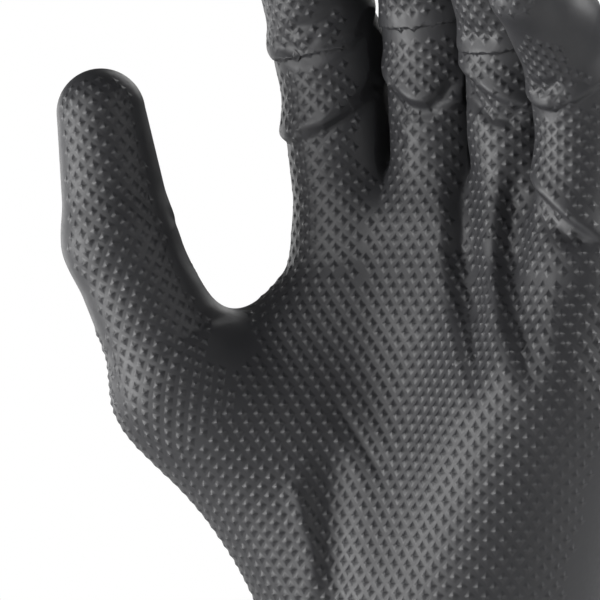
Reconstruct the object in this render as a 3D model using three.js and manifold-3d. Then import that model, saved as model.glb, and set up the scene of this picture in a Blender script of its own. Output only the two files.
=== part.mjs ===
// A nitrile exam glove for the left hand, in the form it takes on a hand.
// Millimetres. Fingers point up (+Z), the palm faces -Y and the thumb lies towards -X.
// The origin is the middle of the cuff opening, and the whole glove is one hollow film.
// The real film is about 0.2 mm thick. Here it is thicker, so that it is a sound solid.

import * as THREE from 'three';
import { mergeVertices } from 'three/addons/utils/BufferGeometryUtils.js';
import Module from 'manifold-3d';

// Cuff and wrist sizes
const CUFF_LENGTH = 52;
const CUFF_WIDTH = 72;
const CUFF_DEPTH = 56;
const WRIST_WIDTH = 64;
const WRIST_DEPTH = 47;
const BEAD_RADIUS = 1.5;

// Palm sizes
const PALM_LENGTH = 93;
const PALM_BREADTH = 62;
const PALM_THICKNESS = 25;
const HEEL_RADIUS = 15;
const WEB_RADIUS = 4;

// Digit sizes: length from the root joint to the tip, and the radius over the root joint
const THUMB_LENGTH = 122;
const THUMB_RADIUS = 14.6;
const INDEX_LENGTH = 89;
const INDEX_RADIUS = 11.7;
const MIDDLE_LENGTH = 97;
const MIDDLE_RADIUS = 11.7;
const RING_LENGTH = 92;
const RING_RADIUS = 11.2;
const LITTLE_LENGTH = 75;
const LITTLE_RADIUS = 10.3;

// Film sizes
const FILM = 1.5;
const FOLD_HEIGHT = 1.8;
const FOLD_WIDTH = 3.2;
const GROOVE_DEPTH = 1.6;
const GROOVE_WIDTH = 2.6;
const FINGER_GAP = 0.8;

// How softly the digits run into the palm, and each bone's flesh into the next
const PALM_BLEND = 20;
const THUMB_BLEND = 11;
const ROOT_BLEND = 5;
const JOINT_BLEND = 3;

// Size of the facets: across the hand, and along it in each zone from a height up
const FACET = 4.2;
const FACET_LENGTHS = [
  { from: 0, length: 10 },
  { from: CUFF_LENGTH + 0.35 * PALM_LENGTH, length: 7.6 },
  { from: CUFF_LENGTH + 1.05 * PALM_LENGTH, length: 3.6 },
  { from: CUFF_LENGTH + 1.55 * PALM_LENGTH, length: 5 },
];

// Tube of the cuff and wrist, and the core of the palm: height, middle and half axes of each section
const SECTIONS = [
  { z: -0.2 * CUFF_LENGTH, y: 0, a: 0.5 * CUFF_WIDTH, b: 0.5 * CUFF_DEPTH },
  { z: 0, y: 0, a: 0.5 * CUFF_WIDTH, b: 0.5 * CUFF_DEPTH },
  { z: 0.5 * CUFF_LENGTH, y: 0, a: 0.255 * (CUFF_WIDTH + WRIST_WIDTH), b: 0.25 * (CUFF_DEPTH + WRIST_DEPTH) },
  { z: CUFF_LENGTH, y: 0, a: 0.5 * WRIST_WIDTH, b: 0.5 * WRIST_DEPTH },
  { z: CUFF_LENGTH + 0.2 * PALM_LENGTH, y: 0.04 * PALM_THICKNESS, a: 0.52 * WRIST_WIDTH, b: 0.44 * WRIST_DEPTH },
  { z: CUFF_LENGTH + 0.5 * PALM_LENGTH, y: 0.1 * PALM_THICKNESS, a: 0.56 * WRIST_WIDTH, b: 0.3 * WRIST_DEPTH },
  { z: CUFF_LENGTH + 0.75 * PALM_LENGTH, y: 0.16 * PALM_THICKNESS, a: 0.5 * WRIST_WIDTH, b: 0.15 * WRIST_DEPTH },
];

// Fingers: the knuckle's place as shares of the palm's breadth, thickness and length,
// then lean (towards +X) and bend (towards the palm) of each bone in degrees,
// the bones as shares of the length, and the radii at the four joints as shares of the radius.
const FINGERS = [
  {
    name: 'index', length: INDEX_LENGTH, radius: INDEX_RADIUS,
    knuckle: { x: -0.38, y: 0.16, z: 0.979 },
    lean: [-4, -6, -6], bend: [6, 22, 38],
    bones: [0.475, 0.27, 0.153], radii: [1, 0.99, 0.9, 0.78],
  },
  {
    name: 'middle', length: MIDDLE_LENGTH, radius: MIDDLE_RADIUS,
    knuckle: { x: -0.03, y: 0.36, z: 1 },
    lean: [0, -1, -1], bend: [5, 27, 47],
    bones: [0.475, 0.29, 0.15], radii: [1, 0.97, 0.88, 0.76],
  },
  {
    name: 'ring', length: RING_LENGTH, radius: RING_RADIUS,
    knuckle: { x: 0.29, y: 0.3, z: 0.968 },
    lean: [1, 0, 0], bend: [5, 33, 55],
    bones: [0.47, 0.285, 0.155], radii: [1, 0.96, 0.87, 0.76],
  },
  {
    name: 'little', length: LITTLE_LENGTH, radius: LITTLE_RADIUS,
    knuckle: { x: 0.595, y: 0.03, z: 0.89 },
    lean: [2, 0, -2], bend: [3, 36, 62],
    bones: [0.49, 0.25, 0.16], radii: [1, 0.95, 0.87, 0.76],
  },
];

// Thumb: the root joint's place, and its three bones, as for the fingers
const THUMB = {
  name: 'thumb', length: THUMB_LENGTH, radius: THUMB_RADIUS,
  knuckle: { x: -0.32, y: -0.36, z: 0.215 },
  lean: [-32.8, -20, -8.5], bend: [23.5, 13.5, 3],
  bones: [0.436, 0.262, 0.226], radii: [1, 0.89, 0.82, 0.655],
};

// Flesh of the palm: rounded cones from the wrist to each knuckle. x is a share of the
// wrist's width, and the radii are shares of the palm's thickness.
const PALM_BONES = [
  { knuckle: 'index', x: -0.19, y: 0.08, radii: [0.46, 0.48] },
  { knuckle: 'middle', x: -0.08, y: 0.08, radii: [0.46, 0.496] },
  { knuckle: 'ring', x: 0.09, y: 0.08, radii: [0.46, 0.488] },
  { knuckle: 'little', x: 0.235, y: 0, radii: [0.48, 0.48] },
];

// Pads and webs of the palm: both ends as shares of the palm's breadth, thickness and
// length, with their radii.
const PADS = [
  { from: [0.27, -0.24, 0.2], to: [0.51, -0.2, 0.62], radii: [HEEL_RADIUS, 0.93 * HEEL_RADIUS] },
  { from: [-0.19, -0.32, 0.17], to: [-0.39, -0.56, 0.52], radii: [0.87 * HEEL_RADIUS, 0.8 * HEEL_RADIUS] },
  { from: [-0.7, -0.96, 0.58], to: [-0.42, 0.04, 0.73], radii: [1.75 * WEB_RADIUS, 2.25 * WEB_RADIUS] },
  { from: [-0.82, -1.2, 0.6], to: [-0.42, 0, 0.76], radii: [0.75 * WEB_RADIUS, 1.25 * WEB_RADIUS] },
];

// Folds of the film round the digits, bulging on the tip's side of a crease. Height and
// width are shares of the fold sizes. The crease's place along the digit, as a share of its
// length, is given at the digit's left, front and right.
const FOLD_FRONT = 36;
const FOLDS = [
  { digit: 'index', height: 1, width: 1, left: 0.26, front: 0.285, right: 0.385 },
  { digit: 'index', height: 0.8, width: 1, left: 0.495, front: 0.466, right: 0.54 },
  { digit: 'middle', height: 0.9, width: 1.1, left: 0.34, front: 0.266, right: 0.34 },
  { digit: 'middle', height: 0.6, width: 0.9, left: 0.465, front: 0.475, right: 0.5 },
  { digit: 'ring', height: 0.9, width: 1, left: 0.4, front: 0.306, right: 0.325 },
  { digit: 'ring', height: 0.7, width: 0.8, left: 0.486, front: 0.48, right: 0.5 },
  { digit: 'little', height: 1, width: 1, left: 0.255, front: 0.115, right: 0.07 },
  { digit: 'little', height: 0.6, width: 0.8, left: 0.545, front: 0.553, right: 0.59 },
  { digit: 'thumb', height: 0.35, width: 1.2, left: 0.7, front: 0.705, right: 0.7 },
];

// Grooves of the palm, from end to end as shares of the palm's breadth, thickness and
// length. Depth and width are shares of the groove sizes.
const GROOVES = [
  { from: [0.17, -0.08, 1.2], to: [0.2, -0.3, 0.95], depth: 1, width: 1 },
  { from: [0.2, -0.3, 0.95], to: [0.28, -0.5, 0.83], depth: 0.7, width: 1.1 },
  { from: [0.41, -0.14, 1.18], to: [0.41, -0.4, 0.95], depth: 1.2, width: 1.4 },
  { from: [0.41, -0.4, 0.95], to: [0.49, -0.68, 0.8], depth: 0.8, width: 1.2 },
  { from: [-0.15, -0.97, 0.46], to: [-0.1, -1.09, 0.17], depth: 0.9, width: 1.5 },
];

// A point in the palm's shares, in millimetres
function palmPoint(x, y, z) {
  return new THREE.Vector3(x * PALM_BREADTH, y * PALM_THICKNESS, CUFF_LENGTH + z * PALM_LENGTH);
}

// The joints of a digit, from its root joint to its last one
function jointsOf(digit) {
  const { x, y, z } = digit.knuckle;
  const joints = [palmPoint(x, y, z)];
  digit.bones.forEach((share, i) => {
    const lean = THREE.MathUtils.degToRad(digit.lean[i]);
    const bend = THREE.MathUtils.degToRad(digit.bend[i]);
    const along = new THREE.Vector3(Math.tan(lean), -Math.tan(bend), 1).normalize();
    joints.push(joints[i].clone().addScaledVector(along, share * digit.length));
  });
  return joints;
}

// A rounded cone, prepared for measuring distances to it
function makeCone(from, to, radiusFrom, radiusTo) {
  const along = to.clone().sub(from);
  return {
    from, along, radiusFrom, radiusTo,
    lengthSquared: along.lengthSq(),
    length: along.length(),
  };
}

function coneDistance(cone, x, y, z, hit) {
  const { from, along } = cone;
  const px = x - from.x;
  const py = y - from.y;
  const pz = z - from.z;
  const dot = px * along.x + py * along.y + pz * along.z;
  const share = Math.min(1, Math.max(0, dot / cone.lengthSquared));
  const qx = px - share * along.x;
  const qy = py - share * along.y;
  const qz = pz - share * along.z;
  const distance = Math.hypot(qx, qy, qz) - cone.radiusFrom - share * (cone.radiusTo - cone.radiusFrom);
  if (hit) {
    hit.share = share;
    hit.across = qx;
    hit.depth = qy;
  }
  return distance;
}

// The smaller of two distances, with a rounded fillet where they meet
function blend(a, b, size) {
  const overlap = Math.max(size - Math.abs(a - b), 0) / size;
  return Math.min(a, b) - 0.25 * overlap * overlap * size;
}

// Each digit as cones, one to a bone, with the folds that lie on it
function makeDigit(digit) {
  const joints = jointsOf(digit);
  const cones = digit.bones.map((share, i) => makeCone(
    joints[i], joints[i + 1], digit.radii[i] * digit.radius, digit.radii[i + 1] * digit.radius));
  const folds = FOLDS.filter((fold) => fold.digit === digit.name).map((fold) => ({
    height: fold.height * FOLD_HEIGHT,
    width: fold.width * FOLD_WIDTH,
    left: fold.left * digit.length,
    front: fold.front * digit.length,
    right: fold.right * digit.length,
  }));
  return { cones, folds };
}

// How far a fold lifts the film, from the distance along the digit and the direction from its middle line
function foldLift(fold, along, across, depth) {
  const turn = THREE.MathUtils.degToRad(FOLD_FRONT);
  const reach = Math.hypot(across, depth) + 1e-3;
  const side = (across * Math.cos(turn) + depth * Math.sin(turn)) / reach;
  const ahead = (across * Math.sin(turn) - depth * Math.cos(turn)) / reach;
  const middle = 0.5 * (fold.left + fold.right);
  const crease = middle + ahead * (fold.front - middle) + 0.5 * side * (fold.right - fold.left);
  const off = (along - crease) / fold.width;
  return fold.height * Math.exp(off > 0 ? -0.6 * off * off : -4 * off * off);
}

function digitDistance(digit, x, y, z) {
  const hit = { share: 0, across: 0, depth: 0 };
  let distance = Infinity;
  let nearest = Infinity;
  let along = 0;
  let across = 0;
  let depth = 0;
  let start = 0;
  for (const cone of digit.cones) {
    const d = coneDistance(cone, x, y, z, hit);
    distance = distance === Infinity ? d : blend(distance, d, JOINT_BLEND);
    if (d < nearest) {
      nearest = d;
      along = start + hit.share * cone.length;
      across = hit.across;
      depth = hit.depth;
    }
    start += cone.length;
  }
  for (const fold of digit.folds) distance -= foldLift(fold, along, across, depth);
  return distance;
}

// A finger's middle line and radius at a height, which its lean alone moves sideways
function fingerAt(finger, z) {
  const { cones } = finger;
  const i = Math.max(0, cones.findLastIndex((cone) => cone.from.z <= z));
  const { from, along, radiusFrom, radiusTo } = cones[i];
  const share = Math.min(1, Math.max(0, (z - from.z) / along.z));
  return { x: from.x + share * along.x, radius: radiusFrom + share * (radiusTo - radiusFrom) };
}

// Where the gap between a finger and the next one lies at a height
function gapAt(finger, next, z) {
  const left = fingerAt(finger, z);
  const right = fingerAt(next, z);
  return 0.5 * (left.x + left.radius + right.x - right.radius);
}

// The tube of the cuff, the wrist and the palm's core
function tubeDistance(x, y, z) {
  const last = SECTIONS.length - 1;
  const i = Math.min(last, Math.max(1, SECTIONS.findIndex((section) => section.z > z)));
  const low = z >= SECTIONS[last].z ? SECTIONS[last] : SECTIONS[i - 1];
  const high = z >= SECTIONS[last].z ? SECTIONS[last] : SECTIONS[i];
  const share = high === low ? 0 : Math.max(0, (z - low.z) / (high.z - low.z));
  const at = (key) => low[key] + share * (high[key] - low[key]);
  const a = at('a');
  const b = at('b');
  const u = x / a;
  const v = (y - at('y')) / b;
  const r = Math.hypot(u, v) + 1e-6;
  const side = (r - 1) * r / (Math.hypot(u / a, v / b) + 1e-6);
  return Math.max(side, SECTIONS[0].z - z, z - SECTIONS[last].z);
}

const fingers = FINGERS.map(makeDigit);
const thumb = makeDigit(THUMB);
const palmCones = [
  ...PALM_BONES.map((bone) => makeCone(
    new THREE.Vector3(bone.x * WRIST_WIDTH, bone.y * PALM_THICKNESS, CUFF_LENGTH + 0.065 * PALM_LENGTH),
    jointsOf(FINGERS.find((finger) => finger.name === bone.knuckle))[0],
    bone.radii[0] * PALM_THICKNESS, bone.radii[1] * PALM_THICKNESS)),
  ...PADS.map((pad) => makeCone(palmPoint(...pad.from), palmPoint(...pad.to), pad.radii[0], pad.radii[1])),
];
const grooves = GROOVES.map((groove) => ({
  line: makeCone(palmPoint(...groove.from), palmPoint(...groove.to), 0, 0),
  depth: groove.depth * GROOVE_DEPTH,
  width: groove.width * GROOVE_WIDTH,
}));

// Distance from the glove's outside: below zero inside it. Neighbouring fingers are
// flattened against each other where they would meet, with a narrow gap between them.
function gloveDistance(x, y, z) {
  let palm = tubeDistance(x, y, z);
  for (const cone of palmCones) palm = blend(palm, coneDistance(cone, x, y, z), PALM_BLEND);
  palm = blend(palm, digitDistance(thumb, x, y, z), THUMB_BLEND);
  for (const groove of grooves) {
    const near = coneDistance(groove.line, x, y, z) / groove.width;
    palm += groove.depth * Math.exp(-near * near);
  }
  let digits = Infinity;
  fingers.forEach((finger, i) => {
    let d = digitDistance(finger, x, y, z);
    if (i > 0) d = Math.max(d, gapAt(fingers[i - 1], finger, z) + 0.5 * FINGER_GAP - x);
    if (i < fingers.length - 1) d = Math.max(d, x + 0.5 * FINGER_GAP - gapAt(finger, fingers[i + 1], z));
    digits = Math.min(digits, d);
  });
  return blend(palm, digits, ROOT_BLEND);
}

function handBounds() {
  const box = new THREE.Box3();
  for (const cone of [...palmCones, ...thumb.cones, ...fingers.flatMap((finger) => finger.cones)]) {
    for (const [point, radius] of [[cone.from, cone.radiusFrom], [cone.from.clone().add(cone.along), cone.radiusTo]]) {
      box.expandByPoint(point.clone().addScalar(radius));
      box.expandByPoint(point.clone().addScalar(-radius));
    }
  }
  const half = 0.5 * Math.max(CUFF_WIDTH, CUFF_DEPTH);
  box.expandByPoint(new THREE.Vector3(-half, -half, SECTIONS[0].z));
  box.expandByPoint(new THREE.Vector3(half, half, 0));
  return box.expandByScalar(2 * FACET + PALM_BLEND / 4);
}

function linesBetween(from, to, count) {
  return Array.from({ length: count }, (_, i) => from + i * (to - from) / count);
}

// The grid that the film is laid over. Its lines across the hand follow the gaps between the fingers.
function makeGrid(facet) {
  const { min, max } = handBounds();
  const ys = linesBetween(min.y, max.y, Math.ceil((max.y - min.y) / facet));
  const zs = [min.z];
  while (zs[zs.length - 1] < max.z) {
    const z = zs[zs.length - 1];
    const zone = FACET_LENGTHS.findLast((row) => row.from <= z) ?? FACET_LENGTHS[0];
    zs.push(z + zone.length * facet / FACET);
  }
  const knotsAt = (z) => [
    min.x, ...fingers.slice(1).map((finger, i) => gapAt(fingers[i], finger, z)), max.x];
  const knots = knotsAt(CUFF_LENGTH + PALM_LENGTH);
  const counts = knots.slice(1).map((knot, i) => Math.ceil((knot - knots[i]) / facet));
  const xs = zs.map((z) => {
    const here = knotsAt(z);
    return counts.flatMap((count, i) => linesBetween(here[i], here[i + 1], count));
  });
  return {
    counts: [xs[0].length, ys.length, zs.length],
    point: (i, j, k) => new THREE.Vector3(xs[k][i], ys[j], zs[k]),
  };
}

// The distance plus the level at every grid point. Where a square of four points has only
// its opposite corners inside, one more corner is filled, so that no two walls share an edge.
function sampleGrid(grid, level) {
  const [nx, ny, nz] = grid.counts;
  const values = new Float64Array(nx * ny * nz);
  for (let k = 0; k < nz; k++) {
    for (let j = 0; j < ny; j++) {
      for (let i = 0; i < nx; i++) {
        const { x, y, z } = grid.point(i, j, k);
        values[i + nx * (j + ny * k)] = gloveDistance(x, y, z) + level;
      }
    }
  }
  const strides = [1, nx, nx * ny];
  let filled = true;
  while (filled) {
    filled = false;
    for (const [u, v] of [[0, 1], [1, 2], [2, 0]]) {
      for (let a = 0; a < values.length - strides[u] - strides[v]; a++) {
        const square = [a, a + strides[u], a + strides[u] + strides[v], a + strides[v]];
        const [p, q, r, t] = square.map((corner) => values[corner] < 0);
        if (p !== r || q !== t || p === q) continue;
        const outside = square.filter((corner) => values[corner] >= 0);
        outside.sort((m, n) => values[m] - values[n]);
        values[outside[0]] = -0.05;
        filled = true;
      }
    }
  }
  return values;
}

// Moves a point onto the surface where the distance plus the level is zero
function settle(point, level) {
  const step = 0.05;
  for (let round = 0; round < 3; round++) {
    const { x, y, z } = point;
    const d = gloveDistance(x, y, z) + level;
    const slope = new THREE.Vector3(
      gloveDistance(x + step, y, z) - gloveDistance(x - step, y, z),
      gloveDistance(x, y + step, z) - gloveDistance(x, y - step, z),
      gloveDistance(x, y, z + step) - gloveDistance(x, y, z - step)).divideScalar(2 * step);
    const move = THREE.MathUtils.clamp(d, -0.3 * FACET, 0.3 * FACET) / Math.max(slope.lengthSq(), 0.3);
    point.addScaledVector(slope, -move);
  }
  return point;
}

// A closed surface at one depth below the glove's outside, laid over a grid
function filmSurface(level, facet) {
  const grid = makeGrid(facet);
  const values = sampleGrid(grid, level);
  const [nx, ny, nz] = grid.counts;
  const strides = [1, nx, nx * ny];
  const cellVertex = new Int32Array(values.length).fill(-1);
  const positions = [];
  for (let k = 0; k < nz - 1; k++) {
    for (let j = 0; j < ny - 1; j++) {
      for (let i = 0; i < nx - 1; i++) {
        const cell = [i, j, k];
        const sum = new THREE.Vector3();
        let crossings = 0;
        for (let axis = 0; axis < 3; axis++) {
          for (const [du, dv] of [[0, 0], [1, 0], [0, 1], [1, 1]]) {
            const low = [...cell];
            low[(axis + 1) % 3] += du;
            low[(axis + 2) % 3] += dv;
            const a = low[0] + nx * (low[1] + ny * low[2]);
            const b = a + strides[axis];
            if ((values[a] < 0) === (values[b] < 0)) continue;
            const high = [...low];
            high[axis] += 1;
            const share = values[a] / (values[a] - values[b]);
            sum.add(grid.point(...low).lerp(grid.point(...high), share));
            crossings++;
          }
        }
        if (crossings === 0) continue;
        const vertex = settle(sum.divideScalar(crossings), level);
        cellVertex[i + nx * (j + ny * k)] = positions.length / 3;
        positions.push(vertex.x, vertex.y, vertex.z);
      }
    }
  }
  const apart = (a, b) => Math.hypot(
    positions[3 * a] - positions[3 * b],
    positions[3 * a + 1] - positions[3 * b + 1],
    positions[3 * a + 2] - positions[3 * b + 2]);
  const triangles = [];
  for (let k = 1; k < nz - 1; k++) {
    for (let j = 1; j < ny - 1; j++) {
      for (let i = 1; i < nx - 1; i++) {
        const a = i + j * nx + k * nx * ny;
        for (let axis = 0; axis < 3; axis++) {
          const b = a + strides[axis];
          if ((values[a] < 0) === (values[b] < 0)) continue;
          const [u, v] = [strides[(axis + 1) % 3], strides[(axis + 2) % 3]];
          const quad = [cellVertex[a - u - v], cellVertex[a - v], cellVertex[a], cellVertex[a - u]];
          if (values[a] >= 0) quad.reverse();
          if (apart(quad[0], quad[2]) > apart(quad[1], quad[3])) quad.push(quad.shift());
          triangles.push(quad[0], quad[1], quad[2], quad[0], quad[2], quad[3]);
        }
      }
    }
  }
  const geometry = new THREE.BufferGeometry();
  geometry.setAttribute('position', new THREE.Float32BufferAttribute(positions, 3));
  geometry.setIndex(triangles);
  return geometry;
}

// The rolled bead along the edge of the cuff
function cuffBead() {
  const points = [];
  const sides = 48;
  for (let i = 0; i < sides; i++) {
    const angle = 2 * Math.PI * i / sides;
    const a = 0.5 * CUFF_WIDTH - 0.5 * FILM;
    const b = 0.5 * CUFF_DEPTH - 0.5 * FILM;
    points.push(new THREE.Vector3(a * Math.cos(angle), b * Math.sin(angle), BEAD_RADIUS));
  }
  const path = new THREE.CatmullRomCurve3(points, true);
  return new THREE.TubeGeometry(path, sides, BEAD_RADIUS, 6, true);
}

const wasm = await Module();
wasm.setup();

function toSolid(geometry) {
  const bare = geometry.clone();
  bare.deleteAttribute('normal');
  bare.deleteAttribute('uv');
  const merged = mergeVertices(bare, 1e-4);
  return new wasm.Manifold(new wasm.Mesh({
    numProp: 3,
    vertProperties: new Float32Array(merged.attributes.position.array),
    triVerts: new Uint32Array(merged.index.array),
  }));
}

function toGeometry(solid) {
  const mesh = solid.getMesh();
  const geometry = new THREE.BufferGeometry();
  geometry.setAttribute('position', new THREE.BufferAttribute(new Float32Array(mesh.vertProperties), 3));
  geometry.setIndex(new THREE.BufferAttribute(new Uint32Array(mesh.triVerts), 1));
  geometry.computeVertexNormals();
  return geometry;
}

// The glove: its outside less its inside, cut open at the cuff, with the bead joined on
function makeGlove() {
  const outside = toSolid(filmSurface(0, FACET));
  const inside = toSolid(filmSurface(FILM, 1.45 * FACET));
  const below = new THREE.BoxGeometry(4 * CUFF_WIDTH, 4 * CUFF_DEPTH, 2 * CUFF_LENGTH);
  below.translate(0, 0, -CUFF_LENGTH);
  return toGeometry(outside.subtract(inside).subtract(toSolid(below)).add(toSolid(cuffBead())));
}

const nitrile = new THREE.MeshStandardMaterial({ color: 0x2b2b2e, roughness: 0.5, metalness: 0 });

const gloveMesh = new THREE.Mesh(makeGlove(), nitrile);
gloveMesh.name = 'glove';

const nitrileGlove = new THREE.Group();
nitrileGlove.name = 'nitrile_glove';
nitrileGlove.add(gloveMesh);

export default nitrileGlove;
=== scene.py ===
import math

import bpy
import numpy as np
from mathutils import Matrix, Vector, kdtree


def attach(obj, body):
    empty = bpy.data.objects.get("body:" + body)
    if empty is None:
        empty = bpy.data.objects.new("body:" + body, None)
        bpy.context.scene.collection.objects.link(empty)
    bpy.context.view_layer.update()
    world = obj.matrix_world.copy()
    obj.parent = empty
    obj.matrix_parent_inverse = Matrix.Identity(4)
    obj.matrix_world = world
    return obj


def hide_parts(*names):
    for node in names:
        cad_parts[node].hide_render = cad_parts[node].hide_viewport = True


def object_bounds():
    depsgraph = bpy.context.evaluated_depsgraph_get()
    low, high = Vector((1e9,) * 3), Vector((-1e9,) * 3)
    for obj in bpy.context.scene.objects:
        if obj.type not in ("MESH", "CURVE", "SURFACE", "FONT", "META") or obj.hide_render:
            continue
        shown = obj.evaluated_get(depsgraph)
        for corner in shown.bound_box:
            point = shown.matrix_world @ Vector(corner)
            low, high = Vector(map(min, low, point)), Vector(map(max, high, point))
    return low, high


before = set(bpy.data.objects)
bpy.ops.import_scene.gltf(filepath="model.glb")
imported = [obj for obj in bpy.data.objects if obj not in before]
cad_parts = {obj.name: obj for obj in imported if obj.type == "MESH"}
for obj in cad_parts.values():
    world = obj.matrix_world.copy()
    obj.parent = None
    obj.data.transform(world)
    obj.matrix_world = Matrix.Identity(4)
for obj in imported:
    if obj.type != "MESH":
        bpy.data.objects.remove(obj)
cad_low, cad_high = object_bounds()

# Sizes in millimetres, the same as the CAD model's
CUFF_LENGTH = 52.0
CUFF_WIDTH = 72.0
CUFF_DEPTH = 56.0
WRIST_WIDTH = 64.0
WRIST_DEPTH = 47.0
BEAD_RADIUS = 1.5
PALM_LENGTH = 93.0
PALM_BREADTH = 62.0
PALM_THICKNESS = 25.0
HEEL_RADIUS = 15.0
WEB_RADIUS = 4.0
FILM = 1.5
FOLD_HEIGHT = 1.8
FOLD_WIDTH = 3.2
FOLD_FRONT = math.radians(36.0)
FRONT = np.array([math.sin(FOLD_FRONT), -math.cos(FOLD_FRONT), 0.0], np.float32)
GROOVE_DEPTH = 1.6
GROOVE_WIDTH = 2.6
FINGER_GAP = 0.8
PALM_BLEND = 20.0
THUMB_BLEND = 11.0
ROOT_BLEND = 5.0
JOINT_BLEND = 3.0
PALM_BONE_START = 0.065

# The film's meshes, and how the field is sampled and followed
MM = 0.001
FINE_STEP = 0.62  # grid of the outer face
INNER_STEP = 2.1  # grid of the inner face
FILM_TRIANGLES = 155000
TUBE_ROUND = 14.0  # rounding where the tube ends in the palm
CHUNK = 120000
BLOCK = 8
HALF_DIAGONAL = 0.87  # of a block, as a share of its side
FIELD_SLACK = 1.45  # how much faster than distance the field may grow
LEAST_SLOPE = 0.2  # least squared slope by which a step is divided
CAP_HEIGHT = 0.4  # faces lower than this share of a grid step close the cuff
RIM_HEIGHT = 4.0
SAME_WAY = 0.85  # cosine under which a face's normal replaces the field's
STEP_SHARE = 0.8  # share of the distance that a ray steps forward

# The pouch above a fold: how fast it falls away, and how fast it starts at the crease
FINE_POUCH = 0.35
FINE_START = 5.0
COARSE_POUCH = 0.6
COARSE_START = 4.0

# The creases
CREASE_REACH = 7.0  # how far in front of and behind its line a crease reaches
CREASE_ROUND = 0.5  # rounding of its bottom
CREASE_MARGIN = 3  # widths to each side in which it is worked out
CREASE_FADE = 0.25  # share of its length over which each end fades
CREASE_SPREAD = 1.9  # widths from its middle to its edge
CREASE_POINT = 1.6  # power that makes its bottom narrow

# The rolled edge: points round the cuff and round the roll, its waves and its pressed lip
BEAD_AROUND = 240
BEAD_TURNS = 20
BEAD_WAVES = [(0.045, 3, 0.7), (0.03, 11, 0.0), (0.02, 29, 2.0)]  # share of the radius, count, start
LIP_DEPTH = 0.13
LIP_TURN = 2.4
LIP_WIDTH = 0.22

# The diamonds of the grip
GRIP_WIDTH = 3.3  # spacing across
GRIP_LENGTH = 3.8  # spacing along
GRIP_HEIGHT = 0.42
GRIP_ROOT = 0.7  # depth of the root below the film
GRIP_SHARE = 0.8  # share of the spacing that a diamond takes up
GRIP_TILT = 0.06  # how far a diamond's top strays from its middle
GRIP_UNEVEN = (0.8, 1.1)  # lowest and highest share of the height
UPRIGHT = 0.7  # how much a diamond's sides follow its middle's normal
GRIP_RINGS = [  # size, height and slant of each ring of a diamond, as shares
    (1.0, -0.4, 0.0),
    (1.0, 0.0, 0.06),
    (0.7, 0.2, 0.36),
    (0.4, 0.56, 0.55),
    (0.12, 0.93, 0.6),
]
CORNERS = ((1, 0), (0, 1), (-1, 0), (0, -1))

# The grip's lattice and its rays from a digit's line to the film
MOST_ROWS = 400
ARC_RAYS = 121
RAY_STEPS = 26
RAY_BACK = 0.5
RAY_AHEAD = 12
FINGER_GRIP_START = -0.12  # shares of a digit's length from its knuckle
THUMB_GRIP_START = 0.3
THUMB_GRIP_TURN = math.radians(31.0)
TIP_SHARE = 0.95  # share of the tip's radius that the rows go round
DIGIT_SPREAD = math.radians(64)
PALM_SPREAD = math.radians(100)
CUFF_SHARE = 0.7  # share of the cuff that stays bare
PALM_SHARE = 0.97  # share of the palm's length that the palm's rows reach
PALM_SHIFT = (0.05, 0.15)  # palm shares in x and y by which the rows move at the knuckles

# Where the grip is bare or low
DIGIT_FACING = 0.6  # cosine to the front under which a digit is bare
PALM_FACING = 0.34
EDGE_FADE = 0.42  # cosine over which the grip rises from its edge
EDGE_HEIGHT = 0.15
NODE_CLEAR = 0.8  # nearest that two nodes may come, as a share of half a cell's diagonal
NODE_OFF = 0.2  # farthest that a node may lie from the film
FLAT_REACH = 1.6
LEAST_FLAT = 0.6  # slope of the field over FLAT_REACH under which the film is in a crease
EVEN_FILM = 0.78  # cosine under which a diamond's corners are on uneven film
WEB_MIDDLE = (-0.53, -1.1, 0.73)
WEB_REACH = 17.0
WEB_BARE = 0.35  # share of WEB_REACH in which the web is bare
WEB_LOW = 0.25
WEB_RISE = 1.1
KNUCKLE_SHARE = 0.9  # share of the palm's length above which nodes are a finger's
THUMB_SHARE = 0.33  # share of the thumb's length beyond which nodes are the thumb's
THUMB_NEAR = 2.6

# The view in millimetres, with the picture's middle given right of and above the cuff's middle
VIEW_TURN = math.radians(36.0)
VIEW_DISTANCE = 700.0
VIEW_WIDTH = 127.66
VIEW_CENTRE = (-28.1, 130.3)
HAND_REACH = 110.0  # the rays to the hand start this far in front of the cuff's middle
VIEW_STEPS = 80
BACK = Vector((math.sin(VIEW_TURN), -math.cos(VIEW_TURN), 0))
RIGHT = Vector((math.cos(VIEW_TURN), math.sin(VIEW_TURN), 0))
UP = Vector((0, 0, 1))
SENSOR_WIDTH = 36.0

# Light and floor: distances in metres, the floor in millimetres and in bead radii
LIGHT_DISTANCE = 0.9
LIGHT_AIM = Vector((0, 0, 0.13))
LIGHTS = [  # name, degrees to the camera's right, degrees up, size in metres, watts
    ("left_key", -82, -8, 0.55, 11.0),
    ("left_front", -50, 20, 0.5, 3.4),
    ("right_key", 82, 35, 0.5, 7.6),
    ("right_fill", 45, 8, 0.5, 1.5),
    ("back_right", 160, 35, 0.5, 2.0),
    ("back_left", -140, 0, 0.5, 2.0),
]
ROOM_LIGHT = 0.02
FLOOR_RADIUS = 420.0
FLOOR_DEPTH = 1.25
FLOOR_SIDES = 96

# Colours, and the scale of the film's cloudy tone and of its skin
BLACK = (0.018, 0.0185, 0.021, 1)
WORN_BLACK = (0.034, 0.034, 0.037, 1)
PALE = (0.86, 0.86, 0.86, 1)
WHITE = (1, 1, 1, 1)
CLOUD_SCALE = 45
SKIN_SCALE = 900

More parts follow.
